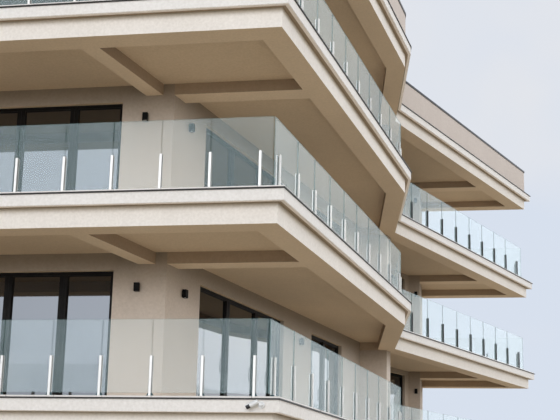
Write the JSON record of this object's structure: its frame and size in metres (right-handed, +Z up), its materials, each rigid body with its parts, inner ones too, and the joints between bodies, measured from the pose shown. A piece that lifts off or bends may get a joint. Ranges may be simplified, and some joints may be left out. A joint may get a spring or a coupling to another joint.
{
  "type": "apartment block",
  "caption": "Rendered apartment block with angular balcony slabs cantilevered round every storey, frameless glass balustrades, sliding windows and a flat roof behind a parapet.",
  "frame": {"origin": "on the ground in the middle of the block's plan, which includes the small camera that stands out of the first slab's front edge", "axes": "+X to the right along the front, +Y from the front to the back, +Z up; the block, apart from the camera, is symmetric about the plane X = 0"},
  "size_m": [24.9, 20.988, 12.83],
  "materials": {
    "concrete": "rough",
    "render": "matte painted render",
    "soffit_render": "matte painted render",
    "paving": "honed",
    "roofing": "rough gravel",
    "dark_metal": "satin",
    "frame_metal": "satin powder coat",
    "window_glass": "clear reflective",
    "balustrade_glass": "clear",
    "post_steel": "brushed",
    "light_metal": "satin",
    "camera_shell": "satin"
  },
  "bodies": {
    "root": {"ground_slab": "concrete", "slab_1": "render", "slab_2": "render", "slab_3": "render", "roof_slab": "render", "beams_1": "soffit_render", "beams_2": "soffit_render", "beams_3": "soffit_render", "roof_beams": "soffit_render", "floor_finishes": "paving", "roof_covering": "roofing", "drip_edges": "dark_metal", "parapet": "render", "coping": "dark_metal", "front_wall_ground": "render", "front_wall_1": "render", "front_wall_2": "render", "front_wall_3": "render", "side_walls_ground": "render", "side_walls_1": "render", "side_walls_2": "render", "side_walls_3": "render", "rear_side_walls_ground": "render", "rear_side_walls_1": "render", "rear_side_walls_2": "render", "rear_side_walls_3": "render", "back_wall_ground": "render", "back_wall_1": "render", "back_wall_2": "render", "back_wall_3": "render", "window_frames_ground": "frame_metal", "window_frames_1": "frame_metal", "window_frames_2": "frame_metal", "window_frames_3": "frame_metal", "window_glass_ground": "window_glass", "window_glass_1": "window_glass", "window_glass_2": "window_glass", "window_glass_3": "window_glass", "balustrade_glass_1": "balustrade_glass", "balustrade_glass_2": "balustrade_glass", "balustrade_glass_3": "balustrade_glass", "balustrade_posts_1": "post_steel", "balustrade_posts_2": "post_steel", "balustrade_posts_3": "post_steel", "entrance_door": "frame_metal", "wall_lights": "light_metal", "security_camera": "camera_shell"}
  },
  "joints": []
}
